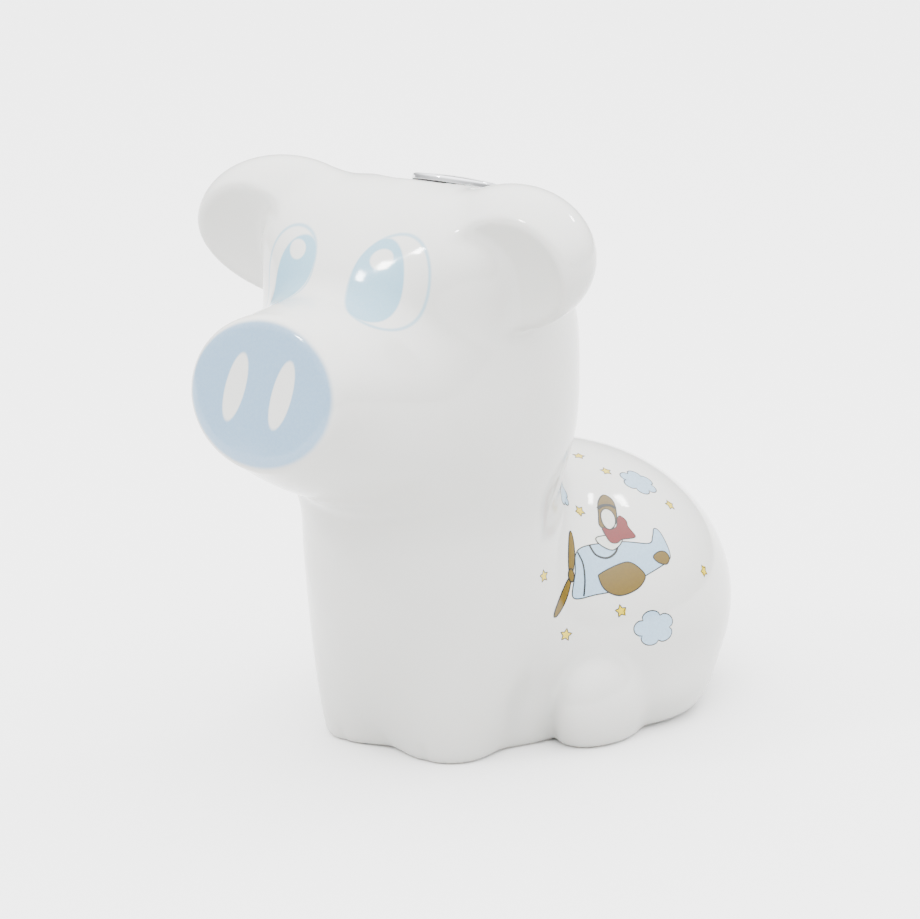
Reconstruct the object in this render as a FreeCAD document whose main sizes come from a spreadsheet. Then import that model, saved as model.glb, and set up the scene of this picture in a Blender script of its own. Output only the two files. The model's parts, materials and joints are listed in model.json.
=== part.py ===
import FreeCAD, Part
import os

# A seated, hollow porcelain piggy bank with a slotted chrome cap in its crown.
# Millimetres. +Z is up, the pig faces -Y and its left side is +X. The origin is on the floor,
# in the middle of the whole object's box.
#
# The casting is built from rounded volumes. The sheet gives each one's half sizes and its middle:
# "side" from the middle plane, "back" behind the front feet and "up" from the floor. On the
# temples, ears and snout, "back" and "up" are measured from the middle of the head instead.
# The cap, its plug and its seals share one tilted frame, the seat on the crown. The coin slot's
# length sets the plug's bore, which sets the throat, the cap and the crown around them.

SIZES = {
    # Where the front feet stand along Y.
    "feet_y": -33.9,
    # Porcelain thickness, over the body and under the base.
    "wall": 4,
    "base_wall": 5,
    # Head: half sizes and middle.
    "head_x": 57,
    "head_y": 54,
    "head_z": 58,
    "head_back": 5,
    "head_up": 147,
    # Temples, the full sides of the forehead in front of the ears.
    "temple_x": 28,
    "temple_y": 29,
    "temple_z": 25,
    "temple_side": 28,
    "temple_back": -8,
    "temple_up": 30,
    # Chest and neck in one tall rounded column.
    "chest_x": 45,
    "chest_y": 45,
    "chest_z": 90,
    "chest_back": 9.8,
    "chest_up": 80,
    # Rump: the large rounded back half.
    "rump_x": 70,
    "rump_y": 74,
    "rump_z": 60,
    "rump_back": 80,
    "rump_up": 35,
    # Seat: the wider foot that the rump stands on.
    "seat_x": 60,
    "seat_y": 44,
    "seat_z": 22,
    "seat_back": 76,
    "seat_up": 10,
    # Belly, between the front legs and the rump.
    "belly_x": 42,
    "belly_y": 40,
    "belly_z": 40,
    "belly_back": 34,
    "belly_up": 10,
    # Front legs, leaning back into the chest.
    "leg_x": 22,
    "leg_y": 22,
    "leg_z": 60,
    "leg_side": 18.3,
    "leg_back": 2.5,
    "leg_up": 42,
    "leg_lean": 7.6,
    # Hind feet, rounded stumps beside the belly.
    "hind_x": 17,
    "hind_y": 27,
    "hind_z": 24,
    "hind_side": 53,
    "hind_back": 48,
    "hind_up": 22,
    # Hoof notches in the toes of the front feet.
    "notch_x": 1.5,
    "notch_y": 3.5,
    "notch_z": 7,
    "notch_side": 18.3,
    "notch_back": -20,
    "notch_up": 0,
    # Snout: an oval frustum from its flat face back into the head.
    "snout_face_x": 31.5,
    "snout_face_z": 25.5,
    "snout_root_x": 51,
    "snout_root_z": 43,
    "snout_length": 70,
    "snout_back": -87,
    "snout_up": -3.5,
    "snout_tilt": 10,
    "snout_round": 3.5,
    # Ears: an oval flap, hollowed from the front.
    "ear_x": 38,
    "ear_y": 22,
    "ear_z": 27,
    "ear_side": 48,
    "ear_back": -19,
    "ear_up": 36,
    "ear_turn": 7,
    "ear_lift": 5,
    "ear_hollow_x": 47,
    "ear_hollow_y": 36,
    "ear_hollow_z": 43,
    "ear_hollow_side": 56,
    "ear_hollow_back": -50,
    "ear_hollow_up": 19,
    # Crown seat for the cap: how far behind the head's middle, its tilt back, its height over the
    # head's surface, its land around the cap, the cone under it and the spot face over it.
    "crown_back": 23,
    "crown_tilt": 15,
    "crown_rise": -2.1,
    "crown_land": 1.4,
    "crown_depth": 18,
    "crown_flare": 8.5,
    "crown_clear": 3,
    # How far a solid or a cut runs past the face that it ends on.
    "overrun": 1,
    # The thick ring of porcelain around the throat, and how far the throat is cleared.
    "throat_ring": 5,
    "throat_length": 9,
    "throat_reach": 30,
    # Coin slot, and the room around it in the plug.
    "slot_length": 27,
    "slot_width": 3.2,
    "slot_clear": 0.1,
    # Plug sleeve: running gap to the throat, its wall, its depth below the seat and its flange.
    "plug_gap": 0.7,
    "plug_wall": 1.2,
    "plug_depth": 14,
    "flange_height": 1.2,
    "flange_lip": 1.4,
    # Rubber: gasket thickness, and the two rings and the gaps around them.
    "gasket_height": 0.8,
    "gasket_seat": 0.05,
    "gasket_inset": 0.3,
    "ring_section": 0.6,
    "ring_gap": 0.02,
    "ring_first": 3,
    "ring_pitch": 3.6,
    # Cap: rim, gap around the flange, thickness at the edge and rise of the dome.
    "cap_rim": 0.7,
    "cap_gap": 0.1,
    "cap_edge": 0.9,
    "cap_dome": 1.3,
}

GRIP_RINGS = 2
SIDES = {"left": 1, "right": -1}

# The seat's middle lies on the head's surface, so it follows the head when that is resized.
CROWN_Y = "Sizes.feet_y + Sizes.head_back + Sizes.crown_back"
CROWN_Z = (
    "Sizes.head_up + Sizes.crown_rise"
    " + Sizes.head_z * sqrt(1 - (Sizes.crown_back / Sizes.head_y) ^ 2)"
)
PLUG_BORE = "(Sizes.slot_length / 2 + Sizes.slot_clear)"
PLUG_RADIUS = f"({PLUG_BORE} + Sizes.plug_wall)"
THROAT_RADIUS = f"({PLUG_RADIUS} + Sizes.plug_gap)"
FLANGE_RADIUS = f"({PLUG_RADIUS} + Sizes.flange_lip)"
CAP_RADIUS = f"({FLANGE_RADIUS} + Sizes.cap_gap + Sizes.cap_rim)"
FLANGE_TOP = "(Sizes.gasket_height + Sizes.flange_height)"

doc = FreeCAD.newDocument("PiggyBank")
sheet = doc.addObject("Spreadsheet::Sheet", "Sizes")
for row, (alias, size) in enumerate(SIZES.items(), start=1):
    sheet.set(f"A{row}", alias)
    sheet.set(f"B{row}", str(size))
    sheet.setAlias(f"B{row}", alias)
doc.recompute()


def add(kind, name, **sizes):
    """Add a document object whose sizes are bound to expressions."""
    shape = doc.addObject(kind, name)
    for prop, expression in sizes.items():
        shape.setExpression(prop, expression)
    return shape


def place(shape, across="0", along="0", up="0"):
    """Bind an object's position."""
    shape.setExpression("Placement.Base.x", across)
    shape.setExpression("Placement.Base.y", along)
    shape.setExpression("Placement.Base.z", up)
    return shape


def turn(shape, axis, angle):
    """Bind an object's rotation about an axis."""
    shape.Placement.Rotation = FreeCAD.Rotation(axis, 1)
    shape.setExpression("Placement.Rotation.Angle", angle)
    return shape


def oval(name, size, side=0, inset="0", on_head=False):
    """An ellipsoid whose half sizes and middle are in the sheet."""
    solid = add(
        "Part::Ellipsoid",
        name,
        Radius1=f"Sizes.{size}_z - {inset}",
        Radius2=f"Sizes.{size}_x - {inset}",
        Radius3=f"Sizes.{size}_y - {inset}",
    )
    across = f"{side} * Sizes.{size}_side" if side else "0"
    along = f"Sizes.feet_y + Sizes.{size}_back"
    up = f"Sizes.{size}_up"
    if on_head:
        along += " + Sizes.head_back"
        up += " + Sizes.head_up"
    return place(solid, across, along, up)


def cut(name, base, tool):
    """Take one solid out of another."""
    result = doc.addObject("Part::Cut", name)
    result.Base = base
    result.Tool = tool
    return result


def join(name, solids):
    """Join solids into one."""
    result = doc.addObject("Part::MultiFuse", name)
    result.Shapes = solids
    return result


def at_crown(shape, depth="0"):
    """Put a shape drawn about +Z on the crown's tilted axis, a depth below the seat."""
    turn(shape, FreeCAD.Vector(-1, 0, 0), "Sizes.crown_tilt")
    return place(
        shape,
        "0",
        f"{CROWN_Y} - ({depth}) * sin(Sizes.crown_tilt * 1 deg)",
        f"{CROWN_Z} - ({depth}) * cos(Sizes.crown_tilt * 1 deg)",
    )


def crown_cylinder(name, radius, top, depth):
    """A cylinder on the crown's axis, from top above the seat to depth below it."""
    disc = add("Part::Cylinder", name, Radius=radius, Height=f"{top} + {depth}")
    return at_crown(disc, depth)


def floor_block(name, bottom):
    """A block over the whole pig, from bottom upwards."""
    block = add(
        "Part::Box",
        name,
        Length="4 * Sizes.rump_x",
        Width="6 * Sizes.rump_y",
        Height="2 * (Sizes.head_up + Sizes.head_z)",
    )
    return place(block, "-2 * Sizes.rump_x", "-3 * Sizes.rump_y", bottom)


def above(name, solid, bottom):
    """The part of a solid that is above a level."""
    result = doc.addObject("Part::Common", name)
    result.Base = solid
    result.Tool = floor_block(f"{name}_block", bottom)
    return result


def snout(name, inset="0"):
    """The snout's frustum, lofted between two upright ovals."""
    face = add(
        "Part::Ellipse",
        f"{name}_face",
        MajorRadius=f"Sizes.snout_face_x - {inset}",
        MinorRadius=f"Sizes.snout_face_z - {inset}",
    )
    root = add(
        "Part::Ellipse",
        f"{name}_root",
        MajorRadius=f"Sizes.snout_root_x - {inset}",
        MinorRadius=f"Sizes.snout_root_z - {inset}",
    )
    for oval_edge, depth in ((face, inset), (root, "Sizes.snout_length")):
        turn(oval_edge, FreeCAD.Vector(1, 0, 0), "90 - Sizes.snout_tilt")
        place(
            oval_edge,
            "0",
            "Sizes.feet_y + Sizes.head_back + Sizes.snout_back"
            f" + ({depth}) * cos(Sizes.snout_tilt * 1 deg)",
            "Sizes.head_up + Sizes.snout_up"
            f" - ({depth}) * sin(Sizes.snout_tilt * 1 deg)",
        )
    loft = doc.addObject("Part::Loft", name)
    loft.Sections = [face, root]
    loft.Solid = True
    loft.Ruled = True
    doc.recompute()
    return loft


def rounded_face(name, loft):
    """Round the snout's front edge."""
    front = min(
        range(len(loft.Shape.Edges)),
        key=lambda index: loft.Shape.Edges[index].BoundBox.YMax,
    )
    radius = float(sheet.get("snout_round"))
    result = doc.addObject("Part::Fillet", name)
    result.Base = loft
    result.Edges = [(front + 1, radius, radius)]
    return result


def leg(side_name, side, inset="0", part="leg"):
    """A front leg, leaning back."""
    return turn(
        oval(f"{part}_{side_name}", "leg", side, inset),
        FreeCAD.Vector(-1, 0, 0),
        "Sizes.leg_lean",
    )


def ear(side_name, side):
    """A flap: a turned and lifted oval, hollowed from the front by a larger one."""
    flap = oval(f"ear_flap_{side_name}", "ear", side, on_head=True)
    yaw = side * sheet.get("ear_turn")
    lift = -side * sheet.get("ear_lift")
    flap.Placement.Rotation = FreeCAD.Rotation(yaw, lift, 0)
    hollow = oval(f"ear_hollow_{side_name}", "ear_hollow", side, on_head=True)
    return cut(f"ear_{side_name}", flap, hollow)


def outside():
    """The pig's outer form, before it is hollowed."""
    boss_top = f"({CAP_RADIUS} + Sizes.crown_land)"
    boss = add(
        "Part::Cone",
        "crown_boss",
        Radius1=f"{boss_top} + Sizes.crown_flare",
        Radius2=boss_top,
        Height="Sizes.crown_depth + Sizes.overrun",
    )
    at_crown(boss, "Sizes.crown_depth")
    solids = [
        oval("head", "head"),
        oval("chest", "chest"),
        oval("rump", "rump"),
        oval("seat", "seat"),
        oval("belly", "belly"),
        rounded_face("snout_rounded", snout("snout")),
        boss,
    ]
    for side_name, side in SIDES.items():
        solids += [
            oval(f"temple_{side_name}", "temple", side, on_head=True),
            leg(side_name, side),
            oval(f"hind_{side_name}", "hind", side),
            ear(side_name, side),
        ]
    return above("outside", join("outside_volumes", solids), "0")


def inside():
    """The hollow that the coins fill: the same volumes, a wall smaller, above the base."""
    solids = [
        oval("head_hollow", "head", inset="Sizes.wall"),
        oval("chest_hollow", "chest", inset="Sizes.wall"),
        oval("rump_hollow", "rump", inset="Sizes.wall"),
        oval("belly_hollow", "belly", inset="Sizes.wall"),
        snout("snout_hollow", inset="Sizes.wall"),
    ]
    for side_name, side in SIDES.items():
        solids.append(leg(side_name, side, "Sizes.wall", "leg_hollow"))
    return above("inside", join("inside_volumes", solids), "Sizes.base_wall")


def porcelain_body():
    """The fired casting: hollow, with a thick ring around the throat, notched toes and a flat seat."""
    shell = cut("shell", outside(), inside())
    ring = crown_cylinder(
        "throat_thickening",
        f"{THROAT_RADIUS} + Sizes.throat_ring",
        "0",
        "Sizes.throat_length",
    )
    removed = [
        crown_cylinder("throat", THROAT_RADIUS, "2 * Sizes.overrun", "Sizes.throat_reach"),
        crown_cylinder(
            "spot_face", f"{CAP_RADIUS} + Sizes.crown_clear", "Sizes.crown_depth", "0"
        ),
    ]
    for side_name, side in SIDES.items():
        removed.append(oval(f"hoof_notch_{side_name}", "notch", side))
    ringed = join("ringed_shell", [shell, ring])
    return cut("porcelain_body", ringed, join("removed", removed))


def disc(name, radius, bottom, top):
    """An upright cylinder between two levels above the seat."""
    solid = add("Part::Cylinder", name, Radius=radius, Height=f"{top} - ({bottom})")
    return place(solid, up=bottom)


def ring_depth(index):
    """How far a grip ring lies below the seat."""
    return f"(Sizes.ring_first + {index} * Sizes.ring_pitch)"


def cap_plate():
    """The slotted lid: a shallow dome with a rim that closes around the plug's flange."""
    edge_top = f"({FLANGE_TOP} + Sizes.cap_edge)"
    blank = disc(
        "cap_blank", CAP_RADIUS, "Sizes.gasket_height", f"{edge_top} + 2 * Sizes.cap_dome"
    )
    dome_radius = f"(({CAP_RADIUS} ^ 2 + Sizes.cap_dome ^ 2) / (2 * Sizes.cap_dome))"
    dome = add("Part::Sphere", "cap_dome_ball", Radius=dome_radius)
    place(dome, up=f"{edge_top} + Sizes.cap_dome - {dome_radius}")
    domed = doc.addObject("Part::Common", "cap_domed")
    domed.Base = blank
    domed.Tool = dome
    recess = disc(
        "flange_recess",
        f"{FLANGE_RADIUS} + Sizes.cap_gap",
        "Sizes.gasket_height - Sizes.overrun",
        FLANGE_TOP,
    )
    slot = add(
        "Part::Box",
        "coin_slot",
        Length="Sizes.slot_length",
        Width="Sizes.slot_width",
        Height=f"{edge_top} + 2 * Sizes.cap_dome",
    )
    place(slot, "-Sizes.slot_length / 2", "-Sizes.slot_width / 2")
    return at_crown(cut("cap_plate", domed, join("cap_openings", [recess, slot])))


def plug_sleeve():
    """The hollow plug that the coins fall through, with a flange above and a groove per ring."""
    tube = disc("sleeve_tube", PLUG_RADIUS, "-Sizes.plug_depth", FLANGE_TOP)
    flange = disc("sleeve_flange", FLANGE_RADIUS, "Sizes.gasket_height", FLANGE_TOP)
    bore = disc(
        "sleeve_bore",
        PLUG_BORE,
        "-Sizes.plug_depth - Sizes.overrun",
        f"{FLANGE_TOP} + Sizes.overrun",
    )
    removed = [bore]
    for index in range(GRIP_RINGS):
        groove = add(
            "Part::Torus",
            f"ring_groove_{index + 1}",
            Radius1=PLUG_RADIUS,
            Radius2="Sizes.ring_section + Sizes.ring_gap",
        )
        removed.append(place(groove, up=f"-{ring_depth(index)}"))
    blank = join("sleeve_blank", [tube, flange])
    return at_crown(cut("plug_sleeve", blank, join("sleeve_openings", removed)))


def cap_gasket():
    """The flat rubber ring between the cap's rim and the glaze."""
    pad = disc(
        "gasket_pad",
        f"{CAP_RADIUS} - Sizes.gasket_inset",
        "Sizes.gasket_seat",
        "Sizes.gasket_height",
    )
    hole = disc(
        "gasket_hole",
        f"{PLUG_RADIUS} + Sizes.cap_gap",
        "-Sizes.overrun",
        "Sizes.gasket_height + Sizes.overrun",
    )
    return at_crown(cut("cap_gasket", pad, hole))


def grip_ring(index):
    """One rubber ring in its groove on the plug."""
    name = f"grip_ring_{index + 1}"
    ring = add("Part::Torus", name, Radius1=PLUG_RADIUS, Radius2="Sizes.ring_section")
    return at_crown(ring, ring_depth(index))


subparts = [porcelain_body(), cap_plate(), plug_sleeve(), cap_gasket()]
subparts += [grip_ring(index) for index in range(GRIP_RINGS)]
doc.recompute()

for item in doc.Objects:
    if {"Invalid", "Error"} & set(item.State):
        raise RuntimeError(f"{item.Name} failed: {item.State}")
for subpart in subparts:
    if subpart.Shape.isNull() or not subpart.Shape.isValid():
        raise RuntimeError(f"{subpart.Label} has no valid shape")
    if len(subpart.Shape.Solids) != 1:
        raise RuntimeError(f"{subpart.Label} is {len(subpart.Shape.Solids)} solids")

os.makedirs("parts", exist_ok=True)
for subpart in subparts:
    subpart.Shape.exportStep(f"parts/{subpart.Label}.step")
    box = subpart.Shape.optimalBoundingBox(False)
    print(
        f"{subpart.Label}: {subpart.Shape.Volume / 1000:.2f} cm3,"
        f" x {box.XMin:.2f} {box.XMax:.2f},"
        f" y {box.YMin:.2f} {box.YMax:.2f}, z {box.ZMin:.2f} {box.ZMax:.2f}"
    )
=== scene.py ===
import json
import math

import bmesh
import bpy
import numpy as np
import openvdb
from mathutils import Matrix, Vector


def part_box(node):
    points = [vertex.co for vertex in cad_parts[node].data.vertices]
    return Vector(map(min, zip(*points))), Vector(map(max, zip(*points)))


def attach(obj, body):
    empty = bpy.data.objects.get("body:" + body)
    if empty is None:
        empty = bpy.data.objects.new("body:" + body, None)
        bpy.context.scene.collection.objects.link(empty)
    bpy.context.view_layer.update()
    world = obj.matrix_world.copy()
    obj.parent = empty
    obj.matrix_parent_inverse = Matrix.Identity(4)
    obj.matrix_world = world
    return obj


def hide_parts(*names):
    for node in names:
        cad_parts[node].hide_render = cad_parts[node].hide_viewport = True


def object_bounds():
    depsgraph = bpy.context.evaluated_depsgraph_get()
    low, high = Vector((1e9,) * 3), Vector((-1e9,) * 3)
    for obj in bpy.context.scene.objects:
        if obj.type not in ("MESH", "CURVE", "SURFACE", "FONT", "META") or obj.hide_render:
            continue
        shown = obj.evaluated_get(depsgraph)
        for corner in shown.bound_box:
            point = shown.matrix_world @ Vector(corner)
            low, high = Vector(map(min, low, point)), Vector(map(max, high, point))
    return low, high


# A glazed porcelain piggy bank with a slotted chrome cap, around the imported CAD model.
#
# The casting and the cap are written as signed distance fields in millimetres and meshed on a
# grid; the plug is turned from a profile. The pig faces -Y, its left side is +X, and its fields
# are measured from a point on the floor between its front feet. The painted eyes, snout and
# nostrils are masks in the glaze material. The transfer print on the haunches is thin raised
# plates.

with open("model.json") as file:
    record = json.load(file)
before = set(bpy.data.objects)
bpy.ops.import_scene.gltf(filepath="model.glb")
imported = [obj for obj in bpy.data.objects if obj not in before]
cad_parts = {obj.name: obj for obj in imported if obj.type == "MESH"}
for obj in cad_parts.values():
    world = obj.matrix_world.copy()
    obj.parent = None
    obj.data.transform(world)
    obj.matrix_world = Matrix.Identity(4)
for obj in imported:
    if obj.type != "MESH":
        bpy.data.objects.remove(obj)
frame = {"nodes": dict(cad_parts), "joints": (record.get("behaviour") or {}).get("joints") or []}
cad_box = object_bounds()

MM = 0.001
FEET_Y = -33.9  # where the front feet stand, in the row frame
ORIGIN = np.array((0, FEET_Y, 0))
MARGIN = 5.0  # room around the casting on its grid

# ---------------------------------------------------------------------------------------------
# The cap's axis, from the frame: it is the axis that the cap lifts along.

LIFT = frame["joints"][0]
CAP_AXIS = Vector(LIFT["axis"]).normalized()
CAP_TILT = math.degrees(math.atan2(CAP_AXIS.y, CAP_AXIS.z))
plate_low, plate_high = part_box("cap_plate")
CAP_RADIUS = (plate_high.x - plate_low.x) / 2 / MM
ring_low, ring_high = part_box("grip_ring_1")
RING_DEPTH = 3.0  # from the seat on the crown down to the first grip ring
RING_PITCH = 3.6
SEAT = (ring_low + ring_high) / 2 / MM + CAP_AXIS * RING_DEPTH  # the seat's middle, in mm

# ---------------------------------------------------------------------------------------------
# Rounded volumes: (side, back, up) of the middle, half sizes, tilt about x, y, z in degrees,
# and the blend radius into what comes before it. They are joined in this order.

HEAD = ((0, 5, 147), (57, 54, 58), (0, 0, 0), 0)
CHEST = ((0, 9.8, 80), (45, 45, 90), (0, 0, 0), 20)
NECK = ((0, 10.5, 118), (46, 46, 36), (0, 0, 0), 20)
TEMPLE = ((28, -3, 178), (28, 29, 25), (0, 0, 0), 10)
JAW = ((0, -40, 122), (36, 36, 20), (-14, 0, 0), 12)
RUMP = ((0, 79.9, 35), (70, 73.8, 60), (0, 0, 0), 20)
SEAT_FOOT = ((0, 76, 12), (69, 46, 24), (0, 0, 0), 12)
BELLY = ((0, 34, 10), (42, 40, 40), (0, 0, 0), 8)
LEG = ((18.3, 3, 42), (21.5, 21, 60), (-7.6, 0, 0), 10)
HIND_FOOT = ((50, 46, 13), (15, 23, 24), (0, 0, 0), 3)
EAR = ((49, -8, 184), (35, 20, 25), (-19, -3, -9), 4)
EAR_HOLLOW = ((58, -43.5, 166), (40, 30, 46), (0, 0, 0), 2.5)
HOOF_NOTCH = ((18.3, -20, 0), (1.5, 3.5, 7), (0, 0, 0), 1.5)

SNOUT_FACE = (0, -81.8, 143.5)  # middle of the flat face
SNOUT_TILT = 10
SNOUT_FACE_HALF = (31.5, 25.5)
SNOUT_ROOT_HALF = (51, 43)
SNOUT_LENGTH = 70
SNOUT_RIM = 3.5
SNOUT_BLEND = 7

CROWN_FLAT = 18.4  # radius of the land that the cap sits on
CROWN_FLARE = 8.5
CROWN_DEPTH = 18
CROWN_BLEND = 8
CROWN_STAND = 3  # how far the cone is drawn above the seat, before the spot face cuts it
CONE_SCALE = 0.9  # keeps the cone's field close to a distance
SPOT_SLOPE = 0.7  # how steeply the spot face rises
SPOT_START = 10  # how far outside the land it starts to rise
SPOT_REACH = 60  # how far above the seat it cuts
SPOT_ROUND = 2.0

WALL = 4.0
BASE_WALL = 5.0
FOOT_ROUND = 3.0
THROAT_RADIUS = 15.5
THROAT_RING = 20.5
THROAT_LENGTH = 9.0
THROAT_ROUND = 1.0
THROAT_RING_ROUND = 2.0
JOIN_DEPTH = 4.0  # where the outer skin stops in the throat
JOIN_BAND = 1.0  # and how much further down the lining starts
FOOT_BARE = 0.4  # the underside is bare porcelain below this height

CUT_ASIDE = 1.5  # a skin's throat is cut within this much of its radius
CUT_BAND = 3.0  # and within this much of the level of the cut
CUT_BELOW = 2.0  # the outer skin's pit is cleared to this much below its floor

BODY_PITCH = 1.6
CAVITY_PITCH = 3.2
NORMAL_SHARE = 1 / 8  # a fine normal is measured over this share of the grid's pitch

# The cap and plug, about the cap's axis, with the seat at zero.

CAP_BOTTOM = 0.8
CAP_RECESS_TOP = 2.0
CAP_DOME = 1.3
CAP_TOP = 4.2
CAP_RIM = 0.7
CAP_ROUND = 0.9
CAP_FOOT_ROUND = 0.2
CAP_RECESS_ROUND = 0.15
CAP_PITCH = 0.36
CAP_ROOM = ((1, 1, 0.5), 1)  # room around the cap on its grid, before and past it
SLOT_LENGTH = 27.0
SLOT_WIDTH = 3.2
SLOT_CORNER = 0.8
SLOT_ROUND = 0.5
SLEEVE_RADIUS = 14.8
SLEEVE_BORE = 13.6
SLEEVE_FLANGE = 16.2
SLEEVE_DEPTH = 14.0
SLEEVE_EDGE = 0.25
SLEEVE_STEPS = 160
SLEEVE_CREASE = 40  # degrees
RING_GROOVE = 0.62

# Painted under the glaze: (side, back, up) of the middle and two half axes of each ellipse.

SNOUT_AXIS = Vector((0, math.cos(math.radians(SNOUT_TILT)), -math.sin(math.radians(SNOUT_TILT))))
SNOUT_UP = Vector((0, -SNOUT_AXIS.z, SNOUT_AXIS.y))
DISC_HALF = (30.2, 24.4)
DISC = (SNOUT_FACE, (DISC_HALF[0], 0, 0), tuple(DISC_HALF[1] * SNOUT_UP))
DISC_EDGE = (3.0, 4.5)  # the snout's blue fades between these depths behind its face
EYES_FRONT = FEET_Y - 8  # nothing behind this is painted as an eye
EYE_LINE = 0.93  # the inside of an eye's outline, as a share of it
EYES = (  # outline, pupil and glint of the left eye, then of the right eye
    (
        ((20.7, -39.3, 177.4), (14.2, 3.6, -2.1), (-1.0, 12.2, 13.7)),
        ((16.3, -40.8, 177.5), (9.4, 3.0, -0.2), (-3.3, 11.1, 11.7)),
        ((15.0, -35.0, 183.5), (4.1, 1.2, 0.9), (-1.2, 1.9, 3.1)),
    ),
    (
        ((-25.0, -39.3, 175.0), (-13.2, 3.6, -2.1), (0.4, 12.2, 13.7)),
        ((-22.4, -40.8, 175.6), (-9.4, 3.0, -0.2), (1.0, 10.2, 11.0)),
        ((-22.2, -34.3, 182.6), (-3.9, 1.2, 0.6), (1.2, 1.7, 2.7)),
    ),
)
NOSTRILS = (
    ((9.5, -82.0, 144.5), (4.1, 0, -0.9), (2.5, 2.0, 11.5)),
    ((-10.6, -82.0, 144.7), (4.1, 0, -0.9), (2.5, 2.0, 11.5)),
)

# The transfer print.

PLATE_LIFT = 0.03  # each layer of print stands this much higher
PLATE_SUNK = 0.05  # and reaches this far into the glaze
PLATE_GRID = 2.0
PLATE_SETTLING = 4  # steps that bring a plate onto the glaze
SIDE_REACH = 90.0  # past the widest place of the haunch
SIDE_HALVINGS = 30
ELLIPSE_POINTS = 28


def row_point(point):
    """A point measured from between the front feet, in the row frame."""
    return Vector(point) + Vector((0, FEET_Y, 0))


def in_metres(point):
    return tuple(c * MM for c in point)


def rotation(tilt):
    """Rotation matrix of a tilt about x, then y, then z, in degrees."""
    x, y, z = (Matrix.Rotation(math.radians(angle), 3, axis) for angle, axis in zip(tilt, "XYZ"))
    return np.array(z @ y @ x, np.float32)


def smooth_min(a, b, blend):
    share = np.clip(0.5 + 0.5 * (b - a) / blend, 0, 1)
    return b + (a - b) * share - blend * share * (1 - share)


def smooth_max(a, b, blend):
    return -smooth_min(-a, -b, blend)


def lengths(vectors):
    return np.sqrt(np.einsum("...i,...i->...", vectors, vectors))


def oval(points, volume, inset=0.0):
    """Distance to an ellipsoid, close to exact near its surface."""
    middle, half, tilt, _ = volume
    local = points - np.array(middle, np.float32)
    if any(tilt):
        local = local @ rotation(tilt)
    half = np.array(half, np.float32) - inset
    reach = lengths(local / half)
    return reach * (reach - 1) / np.maximum(lengths(local / half**2), 1e-6)


def snout(points, inset=0.0):
    """Distance to the snout: an oval frustum with a rounded front rim."""
    tilt = rotation((-SNOUT_TILT, 0, 0))
    local = (points - np.array(SNOUT_FACE, np.float32)) @ tilt
    along = local[..., 1] - inset
    share = np.clip(along / SNOUT_LENGTH, 0, 1)
    wide = SNOUT_FACE_HALF[0] - inset + (SNOUT_ROOT_HALF[0] - SNOUT_FACE_HALF[0]) * share
    tall = SNOUT_FACE_HALF[1] - inset + (SNOUT_ROOT_HALF[1] - SNOUT_FACE_HALF[1]) * share
    radius = np.hypot(local[..., 0] * tall / wide, local[..., 2])
    out = radius - tall + SNOUT_RIM
    past = np.maximum(SNOUT_RIM - along, along - SNOUT_LENGTH)
    corner = np.hypot(np.maximum(out, 0), np.maximum(past, 0))
    return np.minimum(np.maximum(out, past), 0) + corner - SNOUT_RIM


def crown_frame(points):
    """Radius and height of points about the cap's axis, from the seat."""
    middle = np.array(SEAT, np.float32) - np.array((0, FEET_Y, 0), np.float32)
    local = (points - middle) @ rotation((-CAP_TILT, 0, 0))
    return np.hypot(local[..., 0], local[..., 1]), local[..., 2]


def mirrored(points):
    """Points folded onto the left side, because the casting is the same on both sides."""
    folded = points.copy()
    folded[..., 0] = np.abs(folded[..., 0])
    return folded


def pig_outside(points):
    """Distance to the casting's outer surface."""
    side = mirrored(points)
    distance = oval(points, HEAD)
    for volume in (CHEST, NECK, TEMPLE):
        distance = smooth_min(distance, oval(side, volume), volume[3])
    distance = smooth_min(distance, snout(points), SNOUT_BLEND)
    for volume in (JAW, RUMP, SEAT_FOOT, BELLY, LEG, HIND_FOOT):
        distance = smooth_min(distance, oval(side, volume), volume[3])
    ear = smooth_max(oval(side, EAR), -oval(side, EAR_HOLLOW), EAR_HOLLOW[3])
    distance = smooth_min(distance, ear, EAR[3])
    radius, height = crown_frame(points)
    cone = (radius - CROWN_FLAT + height * CROWN_FLARE / CROWN_DEPTH) * CONE_SCALE
    boss = np.maximum(cone, np.maximum(height - CROWN_STAND, -height - CROWN_DEPTH))
    distance = smooth_min(distance, boss, CROWN_BLEND)
    rise = SPOT_SLOPE * np.maximum(radius - CROWN_FLAT - SPOT_START, 0)
    distance = smooth_max(distance, np.minimum(height, SPOT_REACH) - rise, SPOT_ROUND)
    distance = smooth_max(distance, -oval(side, HOOF_NOTCH), HOOF_NOTCH[3])
    return smooth_max(distance, -points[..., 2], FOOT_ROUND)


def with_throat(points):
    """The outer surface with the throat sunk into it, deeper than the two skins are joined."""
    radius, height = crown_frame(points)
    pit = np.maximum(radius - THROAT_RADIUS, -height - THROAT_LENGTH)
    return smooth_max(pig_outside(points), -pit, THROAT_ROUND)


def pig_cavity(points):
    """Distance to the hollow for the coins, with the throat standing up out of it."""
    side = mirrored(points)
    distance = oval(points, HEAD, WALL)
    distance = smooth_min(distance, oval(points, CHEST, WALL), CHEST[3])
    distance = smooth_min(distance, snout(points, WALL), SNOUT_BLEND)
    for volume in (RUMP, BELLY, LEG):
        distance = smooth_min(distance, oval(side, volume, WALL), volume[3])
    distance = smooth_max(distance, BASE_WALL - points[..., 2], FOOT_ROUND)
    radius, height = crown_frame(points)
    ring = np.maximum(radius - THROAT_RING, -height - THROAT_LENGTH)
    distance = smooth_max(distance, -ring, THROAT_RING_ROUND)
    throat = np.maximum(radius - THROAT_RADIUS, np.maximum(height, -height - 2 * THROAT_LENGTH))
    return smooth_min(distance, throat, THROAT_ROUND)


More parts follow.
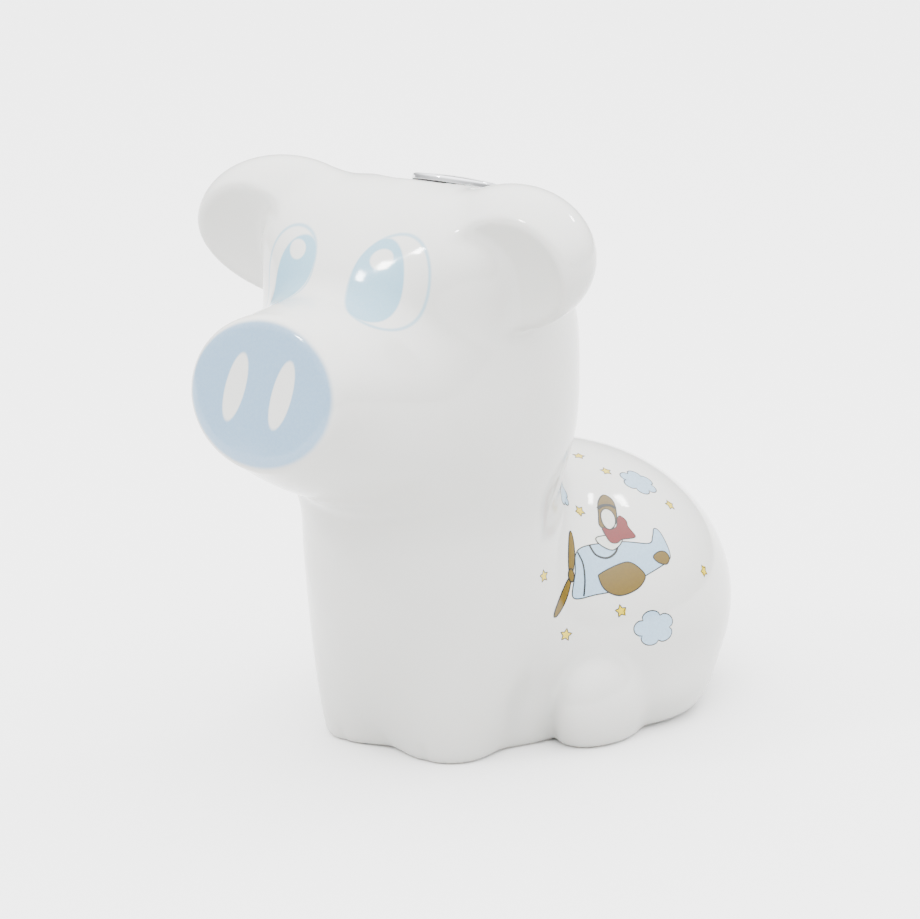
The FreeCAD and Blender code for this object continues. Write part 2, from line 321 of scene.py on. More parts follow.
# ---------------------------------------------------------------------------------------------
# Meshing


def gradient(field, points, step=0.2):
    """Unit normals of a field at points."""
    normals = np.zeros_like(points)
    for axis in range(3):
        offset = np.zeros(3, np.float32)
        offset[axis] = step
        normals[:, axis] = field(points + offset) - field(points - offset)
    return normals / np.maximum(lengths(normals)[:, None], 1e-9)


def settle(field, points, level=0.0, steps=3):
    """Move points onto a level of a field."""
    for _ in range(steps):
        points = points - gradient(field, points) * (field(points) - level)[:, None]
    return points


def surface(field, low, high, pitch):
    """Vertices and outward quads of a field's zero level, inside a box."""
    low = np.array(low, np.float32)
    counts = np.ceil((np.array(high) - low) / pitch).astype(int) + 1
    across, along, up = (low[i] + pitch * np.arange(counts[i], dtype=np.float32) for i in range(3))
    distance = np.empty(counts, np.float32)
    for i, x in enumerate(across):
        slab = np.stack(np.meshgrid(np.float32(x), along, up, indexing="ij"), axis=-1)
        distance[i] = field(slab)[0]
    band = 2 * pitch
    grid = openvdb.FloatGrid()
    grid.background = band
    grid.copyFromArray(np.clip(distance, -band, band))
    grid.transform = openvdb.createLinearTransform(voxelSize=pitch)
    points, quads = grid.convertToQuads(0.0)
    points, quads = settle(field, points + low), quads.astype(int)
    corners = points[quads]
    facing = np.cross(corners[:, 2] - corners[:, 0], corners[:, 3] - corners[:, 1])
    out_ways = gradient(field, points, pitch * NORMAL_SHARE)[quads[:, 0]]
    inward = np.einsum("ij,ij->i", facing, out_ways) < 0
    quads[inward] = quads[inward, ::-1]
    return points, quads


def mesh_from(name, points, faces, origin=(0, 0, 0)):
    """A mesh in metres from points in millimetres."""
    mesh = bpy.data.meshes.new(name)
    mesh.from_pydata(((points + np.array(origin)) * MM).tolist(), [], [list(f) for f in faces])
    mesh.validate()
    return mesh


def piece(name, mesh, body, materials, replaces=()):
    """Put a mesh in the scene as a piece that rides on a body."""
    thing = bpy.data.objects.new(name, mesh)
    bpy.context.scene.collection.objects.link(thing)
    for material in materials:
        mesh.materials.append(material)
    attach(thing, body)
    if replaces:
        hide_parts(*replaces)
    return thing


def smooth_with(mesh, normals):
    """Shade a mesh smooth with the given vertex normals."""
    mesh.shade_smooth()
    mesh.normals_split_custom_set_from_vertices(normals.tolist())


# ---------------------------------------------------------------------------------------------
# Node materials


class Graph:
    """A material's node tree with short calls for the nodes that the glazes share."""

    def __init__(self, name):
        self.material = bpy.data.materials.new(name)
        self.material.use_nodes = True
        self.tree = self.material.node_tree
        self.shader = self.tree.nodes["Principled BSDF"]
        self.coords = self.add("ShaderNodeTexCoord").outputs["Object"]

    def add(self, kind, **settings):
        node = self.tree.nodes.new(kind)
        for key, value in settings.items():
            setattr(node, key, value)
        return node

    def feed(self, socket, value):
        if isinstance(value, bpy.types.NodeSocket):
            self.tree.links.new(value, socket)
        else:
            socket.default_value = value

    def shade(self, **sockets):
        """Set the shader's sockets, named with underscores for spaces."""
        for name, value in sockets.items():
            self.feed(self.shader.inputs[name.replace("_", " ")], value)

    def calc(self, operation, *values):
        node = self.add("ShaderNodeMath", operation=operation)
        for socket, value in zip(node.inputs, values):
            self.feed(socket, value)
        return node.outputs[0]

    def vector(self, operation, *values):
        node = self.add("ShaderNodeVectorMath", operation=operation)
        for socket, value in zip(node.inputs, values):
            self.feed(socket, value)
        name = "Value" if operation in ("DOT_PRODUCT", "LENGTH", "DISTANCE") else "Vector"
        return node.outputs[name]

    def fade(self, value, start, end, low=0.0, high=1.0):
        """Ease from low to high as value goes from start to end."""
        node = self.add("ShaderNodeMapRange", interpolation_type="SMOOTHSTEP")
        for socket, number in zip(node.inputs, (value, start, end, low, high)):
            self.feed(socket, number)
        return node.outputs["Result"]

    def noise(self, size, detail=2.0, roughness=0.5, distortion=0.0):
        """Noise with features of about a size in millimetres."""
        node = self.add("ShaderNodeTexNoise")
        self.feed(node.inputs["Vector"], self.coords)
        node.inputs["Scale"].default_value = 1 / (size * MM)
        node.inputs["Detail"].default_value = detail
        node.inputs["Roughness"].default_value = roughness
        node.inputs["Distortion"].default_value = distortion
        return node.outputs["Fac"]

    def mix(self, share, first, second):
        node = self.add("ShaderNodeMix", data_type="RGBA")
        sockets = [s for s in node.inputs if s.enabled]
        for socket, value in zip(sockets, (share, first, second)):
            self.feed(socket, value)
        return [s for s in node.outputs if s.enabled][0]

    def bump(self, height, distance, strength=1.0, under=None):
        node = self.add("ShaderNodeBump")
        node.inputs["Strength"].default_value = strength
        node.inputs["Distance"].default_value = distance * MM
        self.feed(node.inputs["Height"], height)
        if under is not None:
            self.feed(node.inputs["Normal"], under)
        return node.outputs["Normal"]

    def spot(self, painted, size, edge):
        """1 inside a painted ellipse, 0 outside it, with a soft edge."""
        middle, *halves = painted
        local = self.vector("SUBTRACT", self.coords, in_metres(row_point(middle)))
        squares = []
        for half in map(Vector, halves):
            share = self.vector("DOT_PRODUCT", local, tuple(half / half.length_squared / MM))
            squares.append(self.calc("MULTIPLY", share, share))
        reach = self.calc("SQRT", self.calc("ADD", *squares))
        return self.fade(reach, size * (1 + edge), size * (1 - edge))


def shade_of(red, green, blue):
    """Linear colour from 8-bit display values."""
    levels = (c / 255 for c in (red, green, blue))
    return tuple(c / 12.92 if c <= 0.04045 else ((c + 0.055) / 1.055) ** 2.4 for c in levels) + (1,)


WHITE_GLAZE = shade_of(213, 213, 210)
WHITE_SHADE = shade_of(208, 208, 204)
# the darker grey that the glaze is painted towards on down-facing surfaces, as painted shade
PAINTED_SHADE_GREY = shade_of(182, 182, 178)
SNOUT_BLUE = shade_of(118, 149, 176)
EYE_BLUE = shade_of(124, 168, 190)
BISQUE = shade_of(222, 218, 208)
BISQUE_DARK = shade_of(205, 198, 184)
CHROME_LIGHT = shade_of(215, 216, 218)
CHROME_DARK = shade_of(196, 198, 202)
PLASTIC_LIGHT = shade_of(232, 229, 220)
PLASTIC_DARK = shade_of(222, 218, 207)
RUBBER_DARK = shade_of(24, 24, 25)
RUBBER_BLOOM = shade_of(46, 46, 47)
INK_DEPTH = 0.86  # the darkest the ink gets, as a share of its colour
LINE_STRENGTH = 0.75  # how strongly the line around an eye is sprayed
SPECK_STRENGTH = 0.25


def glazed(graph, colour):
    """Thick clear glaze over a body colour: gloss, slow ripples and a slight orange peel."""
    ripple = graph.bump(graph.noise(38, detail=1.0), 0.1)
    peel = graph.bump(graph.noise(3.4, detail=2.0), 0.008, under=ripple)
    gloss = graph.fade(graph.noise(17, detail=3.0), 0.3, 0.75, 0.07, 0.12)
    graph.shade(Base_Color=colour, Roughness=gloss, Normal=peel, IOR=1.52)
    graph.shade(Subsurface_Weight=0.06, Subsurface_Scale=0.003)
    return graph.material


def glaze():
    """White glaze, greyer where it faces down as painted shade, with the snout, nostrils and eyes
    sprayed under it in blue.
    """
    graph = Graph("glaze")
    speck = graph.fade(graph.noise(1.1, detail=1.0), 0.79, 0.83)
    tone_and_painted_shade = graph.mix(graph.noise(55, detail=2.0), WHITE_GLAZE, WHITE_SHADE)
    # Painted shade: the white is mixed towards a darker grey where the surface faces down, so the
    # shade under the head and in the ears is in the colour.
    facing = graph.add("ShaderNodeSeparateXYZ")
    graph.feed(facing.inputs[0], graph.add("ShaderNodeTexCoord").outputs["Normal"])
    tone_and_painted_shade = graph.mix(graph.fade(facing.outputs[2], -0.5, 0.7), PAINTED_SHADE_GREY, tone_and_painted_shade)
    colour = graph.mix(graph.calc("MULTIPLY", speck, SPECK_STRENGTH), tone_and_painted_shade, BISQUE)
    spray = graph.fade(graph.noise(0.8, detail=3.0, roughness=0.7), 0.25, 0.75, 0.9, 1.0)

    back = graph.vector("SUBTRACT", graph.coords, in_metres(row_point(SNOUT_FACE)))
    depth = graph.vector("DOT_PRODUCT", back, tuple(SNOUT_AXIS))
    disc = graph.fade(depth, DISC_EDGE[1] * MM, DISC_EDGE[0] * MM)
    disc = graph.calc("MULTIPLY", disc, graph.spot(DISC, 1.0, 0.035))
    for nostril in NOSTRILS:
        bare = graph.calc("SUBTRACT", 1.0, graph.spot(nostril, 1.0, 0.07))
        disc = graph.calc("MULTIPLY", disc, bare)

    apart = graph.add("ShaderNodeSeparateXYZ")
    graph.feed(apart.inputs[0], graph.coords)
    front = graph.fade(apart.outputs[1], EYES_FRONT * MM, (EYES_FRONT - 1) * MM)
    eyes = 0.0
    for outline, pupil, glint in EYES:
        outer = graph.spot(outline, 1.0, 0.03)
        line = graph.calc("SUBTRACT", outer, graph.spot(outline, EYE_LINE, 0.03))
        iris = graph.calc("MULTIPLY", graph.spot(pupil, 1.0, 0.04), outer)
        bare = graph.calc("SUBTRACT", 1.0, graph.spot(glint, 1.0, 0.12))
        iris = graph.calc("MULTIPLY", iris, bare)
        eye = graph.calc("MAXIMUM", graph.calc("MULTIPLY", line, LINE_STRENGTH), iris)
        eyes = graph.calc("MAXIMUM", eyes, eye)
    eyes = graph.calc("MULTIPLY", eyes, front)

    colour = graph.mix(graph.calc("MULTIPLY", disc, spray), colour, SNOUT_BLUE)
    colour = graph.mix(graph.calc("MULTIPLY", eyes, spray), colour, EYE_BLUE)
    return glazed(graph, colour)


def bisque():
    """Unglazed porcelain, inside and under the foot: matt, with slip marks and grit."""
    graph = Graph("bisque")
    tone = graph.mix(graph.noise(24, detail=4.0), BISQUE, BISQUE_DARK)
    grit = graph.bump(graph.noise(0.9, detail=4.0, roughness=0.65), 0.05)
    slip = graph.bump(graph.noise(14, detail=2.0, distortion=1.5), 0.3, under=grit)
    rough = graph.fade(graph.noise(6, detail=2.0), 0.2, 0.8, 0.72, 0.9)
    graph.shade(Base_Color=tone, Roughness=rough, Normal=slip)
    return graph.material


def transfer(name, colour):
    """Ceramic transfer colour under the gloss of the glaze, with a slightly uneven ink."""
    graph = Graph(name)
    ink = graph.fade(graph.noise(0.9, detail=3.0), 0.2, 0.8)
    deep = tuple(INK_DEPTH * channel for channel in colour[:3]) + (1,)
    return glazed(graph, graph.mix(ink, colour, deep))


def chrome():
    """Polished plating with a slow waviness, handling haze and small pits."""
    graph = Graph("chrome_plate")
    haze = graph.noise(7, detail=3.0, distortion=0.6)
    rough = graph.fade(haze, 0.35, 0.8, 0.05, 0.17)
    tone = graph.mix(haze, CHROME_LIGHT, CHROME_DARK)
    wave = graph.bump(graph.noise(9, detail=1.0), 0.05)
    pits = graph.fade(graph.noise(0.5, detail=1.0), 0.76, 0.82)
    worn = graph.bump(pits, 0.01, under=wave)
    graph.shade(Base_Color=tone, Metallic=1.0, Roughness=rough, Normal=worn)
    return graph.material


def moulded_plastic():
    """Satin off-white plastic with a spark-eroded grain and faint flow lines."""
    graph = Graph("moulded_plastic")
    tone = graph.mix(graph.noise(6, detail=2.0, distortion=2.0), PLASTIC_LIGHT, PLASTIC_DARK)
    grain = graph.bump(graph.noise(0.35, detail=3.0), 0.02)
    rough = graph.fade(graph.noise(2.5, detail=2.0), 0.3, 0.7, 0.36, 0.5)
    graph.shade(Base_Color=tone, Roughness=rough, Normal=grain, IOR=1.49)
    graph.shade(Subsurface_Weight=0.12, Subsurface_Scale=0.002)
    return graph.material


def rubber():
    """Black rubber with a dusty bloom and a fine tooth."""
    graph = Graph("rubber")
    tone = graph.mix(graph.noise(4, detail=4.0, roughness=0.7), RUBBER_DARK, RUBBER_BLOOM)
    tooth = graph.bump(graph.noise(0.3, detail=3.0), 0.03)
    rough = graph.fade(graph.noise(1.5, detail=2.0), 0.3, 0.7, 0.6, 0.82)
    graph.shade(Base_Color=tone, Roughness=rough, Normal=tooth)
    return graph.material


# ---------------------------------------------------------------------------------------------
# The casting


def throat_cut(points, faces, level, keep_above):
    """A skin as a bmesh, with its throat cut off square at a level below the seat."""
    mesh = mesh_from("skin", points, faces, ORIGIN)
    skin = bmesh.new()
    skin.from_mesh(mesh)
    bpy.data.meshes.remove(mesh)
    skin.verts.ensure_lookup_table()
    radius, height = crown_frame(points)
    inside = radius < THROAT_RADIUS + CUT_ASIDE
    if keep_above:
        inside &= (height > -THROAT_LENGTH - CUT_BELOW) & (height < level + CUT_BAND)
    else:
        inside &= height > level - CUT_BAND
    faces_near = {face for i in np.flatnonzero(inside) for face in skin.verts[i].link_faces}
    edges_near = {edge for face in faces_near for edge in face.edges}
    verts_near = {vert for face in faces_near for vert in face.verts}
    bmesh.ops.bisect_plane(
        skin,
        geom=[*faces_near, *edges_near, *verts_near],
        dist=1e-6,
        plane_co=(SEAT + CAP_AXIS * level) * MM,
        plane_no=CAP_AXIS,
        clear_outer=not keep_above,
        clear_inner=keep_above,
    )
    return skin


def porcelain_body(glaze_material, bisque_material):
    """The outer skin and the hollow's skin, joined inside the throat."""
    low = np.array(cad_box[0]) / MM - ORIGIN - MARGIN
    high = np.array(cad_box[1]) / MM - ORIGIN + MARGIN
    body = throat_cut(*surface(with_throat, low, high, BODY_PITCH), -JOIN_DEPTH, True)
    lining_points, lining_quads = surface(pig_cavity, low, high, CAVITY_PITCH)
    lining = throat_cut(lining_points, lining_quads[:, ::-1], -JOIN_DEPTH - JOIN_BAND, False)
    for face in lining.faces:
        face.material_index = 1
    for face in body.faces:
        if face.calc_center_median().z < FOOT_BARE * MM:
            face.material_index = 1
    lining_mesh = bpy.data.meshes.new("lining")
    lining.to_mesh(lining_mesh)
    lining.free()
    body.from_mesh(lining_mesh)
    bpy.data.meshes.remove(lining_mesh)
    rims = [edge for edge in body.edges if edge.is_boundary]
    joined = bmesh.ops.bridge_loops(body, edges=rims)
    for face in joined["faces"]:
        face.material_index = 1
    bmesh.ops.recalc_face_normals(body, faces=body.faces[:])
    mesh = bpy.data.meshes.new("porcelain")
    body.to_mesh(mesh)
    body.free()
    mesh.shade_smooth()
    materials = (glaze_material, bisque_material)
    return piece("porcelain", mesh, "bank", materials, ("porcelain_body",))


# ---------------------------------------------------------------------------------------------
# The cap, drawn about +Z with the seat at zero and then set on its axis


def on_cap_axis(mesh):
    """Set a mesh drawn about +Z, in metres, on the cap's axis."""
    turn = Vector((0, 0, 1)).rotation_difference(CAP_AXIS).to_matrix().to_4x4()
    mesh.transform(Matrix.Translation(SEAT * MM) @ turn)
    return mesh


def cap_field(points):
    """Distance to the cap: a shallow dome with a rolled rim, recessed below, with a coin slot."""
    across, along, up = (points[..., i] for i in range(3))
    radius = np.hypot(across, along)
    ball = (CAP_RADIUS**2 + CAP_DOME**2) / (2 * CAP_DOME)
    dome = np.hypot(radius, up - (CAP_TOP - ball)) - ball
    solid = smooth_max(radius - CAP_RADIUS, dome, CAP_ROUND)
    solid = smooth_max(solid, CAP_BOTTOM - up, CAP_FOOT_ROUND)
    recess = np.maximum(radius - CAP_RADIUS + CAP_RIM, up - CAP_RECESS_TOP)
    solid = smooth_max(solid, -recess, CAP_RECESS_ROUND)
    wide = np.abs(across) - SLOT_LENGTH / 2 + SLOT_CORNER
    deep = np.abs(along) - SLOT_WIDTH / 2 + SLOT_CORNER
    corner = np.hypot(np.maximum(wide, 0), np.maximum(deep, 0))
    slot = corner + np.minimum(np.maximum(wide, deep), 0) - SLOT_CORNER
    return smooth_max(solid, -slot, SLOT_ROUND)


def cap_plate(material):
    low, high = np.array((-CAP_RADIUS, -CAP_RADIUS, 0)), np.array((CAP_RADIUS, CAP_RADIUS, CAP_TOP))
    points, quads = surface(cap_field, low - CAP_ROOM[0], high + CAP_ROOM[1], CAP_PITCH)
    mesh = mesh_from("cap_dome", points, quads)
    smooth_with(mesh, gradient(cap_field, points, CAP_PITCH * NORMAL_SHARE))
    return piece("cap_dome", on_cap_axis(mesh), "cap", (material,), ("cap_plate",))


def arc(middle, radius, start, end, count=6):
    """Points on an arc, from one angle to another in degrees."""
    angles = np.radians(np.linspace(start, end, count))
    return [(middle[0] + radius * math.cos(a), middle[1] + radius * math.sin(a)) for a in angles]


def plug_sleeve(material):
    """The hollow plug, turned from one closed profile with a groove for each grip ring."""
    edge = SLEEVE_EDGE
    outer, inner, flange = SLEEVE_RADIUS, SLEEVE_BORE, SLEEVE_FLANGE
    profile = arc((outer - edge, -SLEEVE_DEPTH + edge), edge, -90, 0)
    for index in reversed(range(2)):
        depth = -(RING_DEPTH + index * RING_PITCH)
        profile += arc((outer, depth), RING_GROOVE, 270, 90, 9)
    profile += [(outer, CAP_BOTTOM - edge), (outer, CAP_BOTTOM)]
    profile += arc((flange - edge, CAP_BOTTOM + edge), edge, -90, 0)
    profile += arc((flange - edge, CAP_RECESS_TOP - edge), edge, 0, 90)
    profile += arc((inner + edge, CAP_RECESS_TOP - edge), edge, 90, 180)
    profile += arc((inner + edge, -SLEEVE_DEPTH + edge), edge, 180, 270)
    turned = bmesh.new()
    count = len(profile)
    for step in range(SLEEVE_STEPS):
        angle = 2 * math.pi * step / SLEEVE_STEPS
        for radius, up in profile:
            turned.verts.new((radius * math.cos(angle), radius * math.sin(angle), up))
    turned.verts.ensure_lookup_table()
    for step in range(SLEEVE_STEPS):
        here, there = step * count, (step + 1) % SLEEVE_STEPS * count
        for i in range(count):
            following = (i + 1) % count
            corners = (here + i, there + i, there + following, here + following)
            turned.faces.new([turned.verts[c] for c in corners])
    bmesh.ops.remove_doubles(turned, verts=turned.verts, dist=1e-4)
    bmesh.ops.recalc_face_normals(turned, faces=turned.faces)
    bmesh.ops.scale(turned, vec=(MM, MM, MM), verts=turned.verts)
    for face in turned.faces:
        face.smooth = True
    for crease in turned.edges:
        crease.smooth = crease.calc_face_angle(0) < math.radians(SLEEVE_CREASE)
    mesh = bpy.data.meshes.new("sleeve")
    turned.to_mesh(mesh)
    turned.free()
    return piece("sleeve", on_cap_axis(mesh), "cap", (material,), ("plug_sleeve",))


# ---------------------------------------------------------------------------------------------
# The transfer print: flat outlines in millimetres, laid on the haunch as thin closed plates


def smooth_loop(points, closed=True, step=0.6):
    """A Catmull-Rom curve through points, as points about a step apart."""
    points = [Vector(p) for p in points]
    count = len(points)
    line = []
    for i in range(count if closed else count - 1):
        before, start, end, after = (
            points[(i + k) % count] if closed else points[min(max(i + k, 0), count - 1)]
            for k in (-1, 0, 1, 2)
        )
        pieces = max(2, round((end - start).length / step))
        for k in range(pieces):
            t = k / pieces
            line.append(
                0.5 * (
                    2 * start
                    + (end - before) * t
                    + (2 * before - 5 * start + 4 * end - after) * t**2
                    + (3 * start - before - 3 * end + after) * t**3
                )
            )
    if not closed:
        line.append(points[-1])
    return line


def straight_loop(points, step=0.6):
    """A closed outline with straight sides, as points about a step apart."""
    line = []
    for i, start in enumerate(points):
        start, end = Vector(start), Vector(points[(i + 1) % len(points)])
        pieces = max(1, round((end - start).length / step))
        line += [start.lerp(end, k / pieces) for k in range(pieces)]
    return line


def turned_about(points, middle, angle):
    """Outline points turned about their own origin, then moved to a middle."""
    turn = Matrix.Rotation(math.radians(angle), 2)
    return [turn @ Vector(p) + Vector(middle) for p in points]


def star(radius):
    corners = []
    for i in range(10):
        reach = radius if i % 2 == 0 else STAR_WAIST * radius
        angle = math.pi / 2 + i * math.pi / 5
        corners.append((reach * math.cos(angle), reach * math.sin(angle)))
    return straight_loop(corners)


def cloud(width, height, lobes):
    """An oval with rounded lobes around it."""
    outline = []
    count = lobes * LOBE_POINTS
    for i in range(count):
        angle = 2 * math.pi * i / count
        puff = LOBE_DIP + LOBE_RISE * abs(math.sin(angle * lobes / 2)) ** LOBE_FULLNESS
        across, up = width / 2 * puff * math.cos(angle), height / 2 * puff * math.sin(angle)
        outline.append(Vector((across, up)))
    return outline


def ellipse(middle, half_across, half_up, angle=0.0):
    turns = (2 * math.pi * i / ELLIPSE_POINTS for i in range(ELLIPSE_POINTS))
    points = [(half_across * math.cos(t), half_up * math.sin(t)) for t in turns]
    return turned_about(points, middle, angle)


def side_at(back, up):
    """How far out the haunch is at a place, by halving the range."""
    low, high = 0.0, SIDE_REACH
    for _ in range(SIDE_HALVINGS):
        middle = (low + high) / 2
        spot = np.array([[middle, back, up]], np.float32)
        low, high = (middle, high) if pig_outside(spot)[0] < 0 else (low, middle)
    return low


class Print:
    """Plates of one colour over both haunches, gathered into one mesh."""

    def __init__(self):
        self.points = []
        self.faces = []
        self.normals = []
        self.count = 0

    def lay(self, flat, faces, spot, layer):
        """Lay flat faces on the haunch around a spot (back, up), on the left and on the right."""
        middle = np.array([[side_at(*spot), *spot]], np.float32)
        out = gradient(pig_outside, middle)[0]
        up = np.array((0, 0, 1)) - out * out[2]
        up /= np.linalg.norm(up)
        right = np.cross(up, out)
        flat = np.array([tuple(p)[:2] for p in flat], np.float32)
        base = (middle + flat[:, :1] * right + flat[:, 1:] * up).astype(np.float32)
        top = settle(pig_outside, base, PLATE_LIFT * (layer + 1), steps=PLATE_SETTLING)
        bottom = settle(pig_outside, base, -PLATE_SUNK, steps=PLATE_SETTLING)
        out_ways = gradient(pig_outside, top)
        count = len(flat)
        edges = {pair for face in faces for pair in zip(face, face[1:] + face[:1])}
        rims = [(a, b) for a, b in edges if (b, a) not in edges]
        solid = list(faces)
        solid += [[i + count for i in reversed(face)] for face in faces]
        solid += [[b, a, a + count, b + count] for a, b in sorted(rims)]
        for side in (1, -1):
            mirror = np.array((side, 1, 1), np.float32)
            self.points += [top * mirror, bottom * mirror]
            self.normals += [out_ways * mirror, -out_ways * mirror]
            for face in solid:
                ordered = face if side > 0 else face[::-1]
                self.faces.append([i + self.count for i in ordered])
            self.count += 2 * count

    def fill(self, outline, spot, layer=0):
        """A filled outline."""
        flat = bmesh.new()
        flat.faces.new([flat.verts.new((p[0], p[1], 0)) for p in outline])
        bmesh.ops.triangulate(flat, faces=flat.faces[:])
        low = [min(p[i] for p in outline) for i in range(2)]
        high = [max(p[i] for p in outline) for i in range(2)]
        for axis in range(2):
            for k in range(1, math.ceil((high[axis] - low[axis]) / PLATE_GRID)):
                middle = [0, 0, 0]
                middle[axis] = low[axis] + k * PLATE_GRID
                normal = [0, 0, 0]
                normal[axis] = 1
                everything = [*flat.verts, *flat.edges, *flat.faces]
                bmesh.ops.bisect_plane(
                    flat, geom=everything, dist=1e-4, plane_co=middle, plane_no=normal
                )
        bmesh.ops.triangulate(flat, faces=flat.faces[:])
        for face in flat.faces:
            if face.normal.z < 0:
                face.normal_flip()
        flat.verts.index_update()
        faces = [[v.index for v in face.verts] for face in flat.faces]
        points = [tuple(v.co) for v in flat.verts]
        flat.free()
        self.lay(points, faces, spot, layer)

    def line(self, path, spot, layer, closed=True, width=0.4):
        """A line along a path."""
        count = len(path)
        left, right = [], []
        for i, here in enumerate(path):
            before = path[i - 1] if closed or i > 0 else here
            after = path[(i + 1) % count] if closed or i < count - 1 else here
            way = (after - before).normalized()
            side = Vector((-way.y, way.x)) * width / 2
            left.append(here + side)
            right.append(here - side)
        faces = []
        for i in range(count if closed else count - 1):
            following = (i + 1) % count
            faces.append([count + i, count + following, following, i])
        self.lay(left + right, faces, spot, layer)

    def mesh(self, name):
        mesh = mesh_from(name, np.concatenate(self.points), self.faces, ORIGIN)
        smooth_with(mesh, np.concatenate(self.normals))
        return mesh


# The print's outlines. Each motif is drawn flat, right and up, around its own spot on the haunch.

STAR_SIZE = 2.4
STAR_WAIST = 0.5  # the inner corners, as a share of the outer ones
STARS = (  # back, up, turn
    (18.3, 65.2, 4), (76.7, 92.8, 30), (76.9, 88.9, 50), (49.3, 81.1, 10),
    (90.5, 76.2, -20), (89.7, 54.0, 8), (45.0, 48.5, 6), (25.9, 42.4, -12),
)
CLOUDS = (  # back, up, width, height, turn, lobes
    (43.0, 89.5, 9, 12, 10, 6), (85.4, 84.4, 15, 13, -35, 6), (57.1, 40.4, 18, 12.5, -8, 5),
)
LOBE_POINTS = 9
LOBE_DIP = 0.76  # how far out a cloud's outline is between its lobes
LOBE_RISE = 0.28  # and how much further at their tops
LOBE_FULLNESS = 0.6
PLANE_SPOT = (47.5, 62.9)
FUSELAGE = (
    (-17.2, -9), (-15.2, 0), (-13.4, 6.8), (-7, 9.4), (6, 9.6), (18.5, 8.2), (21.8, 11.2),
    (24.2, 14.8), (26.8, 12.8), (28.2, 4), (25.6, 0.6), (14, -4), (2, -8), (-8, -8.9),
)
NOSE_BAND = ((-12.6, 7.2), (-11.2, 3), (-11.6, -3), (-13, -8.9))
COCKPIT = ((-6.5, 9.4), (-5, 5.6), (-1, 3.9), (3, 5.6), (5.6, 9.5))
WING = (
    (-6, -2.8), (-4.8, -1.4), (2, 0.8), (7.4, 1.4), (11.4, -1.4), (13, -4.8), (8.6, -8.8),
    (1, -10.4), (-4.4, -7.6),
)
TAILPLANE = ((18.8, 2.6), (22, 4.6), (25.6, 4.6), (27.2, 2.2), (25, -0.4), (21, 0.2))
COLLAR = ((-2.4, 9.6), (-2.2, 12.4), (6.6, 12.4), (7, 9.6), (2.2, 6.6))
CAP_HELMET = (
    (0.6, 17), (2.2, 22), (5, 28), (8.6, 32), (10.6, 32.4), (11.4, 29), (9.8, 23), (7.6, 18),
    (3.8, 15),
)
FACE = ((5.2, 20), 2.7, 5, -18)  # middle, half sizes and turn
GOGGLES = ((3.5, 25.2), (6, 26.6), (9, 26.6), (10.4, 25))
SCARF = (
    (1.2, 16.2), (4, 15), (7, 16.2), (8.6, 19.6), (10.4, 21), (12.2, 18.6), (12, 15.6),
    (13.6, 11.4), (11, 10.6), (7.4, 10.4), (5, 9.2), (2.4, 9.6), (1.3, 12.4),
)
BLADES = (((-15.8, 7.2), 1.7, 8, -12), ((-21.6, -8.6), 1.5, 8, -28))  # middle, half sizes, turn
HUB = ((-17.3, -0.8), 1.3, 2.4, 0)


def print_haunches():
    """The plane, its pilot, clouds and stars, one mesh for each colour."""
    inks = {name: Print() for name in ("sky", "ochre", "red", "yellow", "cream", "line")}

    def motif(ink, outline, spot, layer=0, width=0.4):
        inks[ink].fill(outline, spot, layer)
        inks["line"].line(outline, spot, layer + 1, width=width)

    def stroke(path, layer, width):
        inks["line"].line(smooth_loop(path, closed=False), PLANE_SPOT, layer, False, width)

    for back, up, turn in STARS:
        motif("yellow", turned_about(star(STAR_SIZE), (0, 0), turn), (back, up), width=0.32)
    for back, up, width, height, turn, lobes in CLOUDS:
        motif("sky", turned_about(cloud(width, height, lobes), (0, 0), turn), (back, up))
    motif("ochre", smooth_loop(CAP_HELMET), PLANE_SPOT)
    motif("cream", ellipse(*FACE), PLANE_SPOT, 1)
    stroke(GOGGLES, 2, 1.3)
    motif("sky", smooth_loop(FUSELAGE), PLANE_SPOT, 1)
    stroke(NOSE_BAND, 2, 0.7)
    stroke(COCKPIT, 2, 0.8)
    motif("cream", smooth_loop(COLLAR), PLANE_SPOT, 3)
    motif("ochre", smooth_loop(WING), PLANE_SPOT, 3)
    motif("ochre", smooth_loop(TAILPLANE), PLANE_SPOT, 3)
    for blade in BLADES:
        motif("ochre", ellipse(*blade), PLANE_SPOT, 3)
    motif("ochre", ellipse(*HUB), PLANE_SPOT, 5)
    motif("red", smooth_loop(SCARF), PLANE_SPOT, 5, width=0.24)
    for name, ink in inks.items():
        material = transfer(f"transfer_{name}", INKS[name])
        piece(f"print_{name}", ink.mesh(name), "bank", (material,))


INKS = {
    "sky": shade_of(152, 178, 200),
    "ochre": shade_of(98, 77, 4),
    "red": shade_of(104, 2, 2),
    "yellow": shade_of(208, 180, 18),
    "cream": shade_of(206, 206, 198),
    "line": shade_of(16, 20, 18),
}

# ---------------------------------------------------------------------------------------------
# Camera, floor and light

TARGET = Vector((0, -5.3, 98.5)) * MM
VIEW_AZIMUTH = 37.0
VIEW_ELEVATION = 14.5
VIEW_DISTANCE = 1.2
LENS = 130.4
FLOOR_SIZE = 16.0


def toward(azimuth, elevation):
    """A direction from the object: azimuth 0 is in front of the pig, 90 is on its left."""
    turn, rise = math.radians(azimuth), math.radians(elevation)
    ahead = math.cos(rise)
    return Vector((math.sin(turn) * ahead, -math.cos(turn) * ahead, math.sin(rise)))


def aimed(thing, place):
    """Put a camera or light in place, looking at the target."""
    thing.location = place
    thing.rotation_euler = (place - TARGET).to_track_quat("Z", "Y").to_euler()
    bpy.context.scene.collection.objects.link(thing)
    return thing


def camera():
    lens = bpy.data.cameras.new("camera")
    lens.lens = LENS
    lens.sensor_width = 36
    lens.clip_end = 60
    place = TARGET + VIEW_DISTANCE * toward(VIEW_AZIMUTH, VIEW_ELEVATION)
    bpy.context.scene.camera = aimed(bpy.data.objects.new("camera", lens), place)


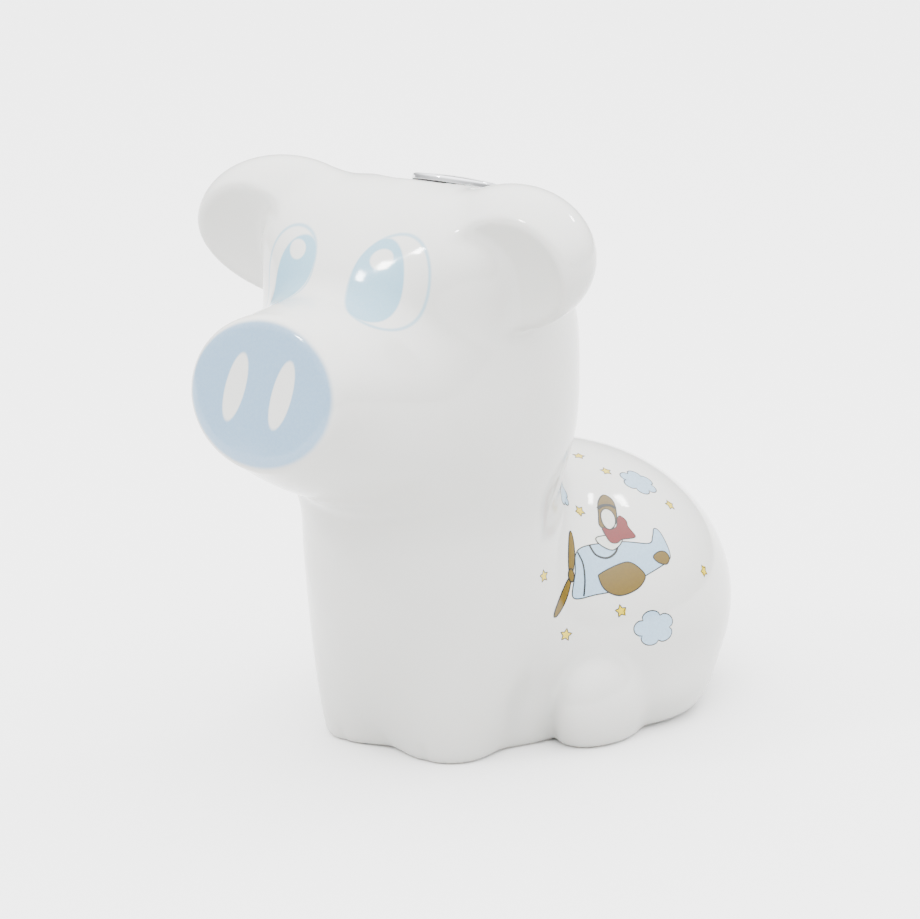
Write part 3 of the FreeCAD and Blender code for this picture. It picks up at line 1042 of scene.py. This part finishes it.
def softbox(name, azimuth, elevation, distance, size, power):
    light = bpy.data.lights.new(name, "AREA")
    light.shape = "RECTANGLE"
    light.size, light.size_y = size
    light.energy = power
    aimed(bpy.data.objects.new(name, light), TARGET + distance * toward(azimuth, elevation))


def studio():
    """A pale floor, a sky that brightens upwards and two small soft boxes."""
    plane = bmesh.new()
    bmesh.ops.create_grid(plane, x_segments=1, y_segments=1, size=FLOOR_SIZE / 2)
    mesh = bpy.data.meshes.new("floor")
    plane.to_mesh(mesh)
    plane.free()
    floor = bpy.data.objects.new("floor", mesh)
    graph = Graph("floor_paper")
    graph.shade(Base_Color=shade_of(246, 246, 246), Roughness=0.9)
    mesh.materials.append(graph.material)
    bpy.context.scene.collection.objects.link(floor)
    sky = bpy.data.worlds.new("studio")
    sky.use_nodes = True
    nodes, links = sky.node_tree.nodes, sky.node_tree.links
    direction = nodes.new("ShaderNodeSeparateXYZ")
    links.new(nodes.new("ShaderNodeTexCoord").outputs["Generated"], direction.inputs[0])
    rising = nodes.new("ShaderNodeMapRange")
    rising.interpolation_type = "SMOOTHSTEP"
    for socket, number in zip(rising.inputs[1:5], (0.0, 1.0, *SKY)):
        socket.default_value = number
    links.new(direction.outputs["Z"], rising.inputs[0])
    links.new(rising.outputs["Result"], nodes["Background"].inputs["Strength"])
    nodes["Background"].inputs["Color"].default_value = (1, 1, 1, 1)
    bpy.context.scene.world = sky
    for box in SOFTBOXES:
        softbox(*box)


SKY = (1.0, 6.5)  # its strength at the horizon and overhead
SOFTBOXES = (  # name, azimuth, elevation, distance, size, power
    ("key", -25, 42, 1.6, (0.14, 0.14), 9),
    ("rim", 165, 47, 1.5, (0.2, 0.1), 4),
)

camera()
porcelain_body(glaze(), bisque())
cap_plate(chrome())
plug_sleeve(moulded_plastic())
print_haunches()
black_rubber = rubber()
for seal in ("cap_gasket", "grip_ring_1", "grip_ring_2"):
    frame["nodes"][seal].data.materials.clear()
    frame["nodes"][seal].data.materials.append(black_rubber)
studio()
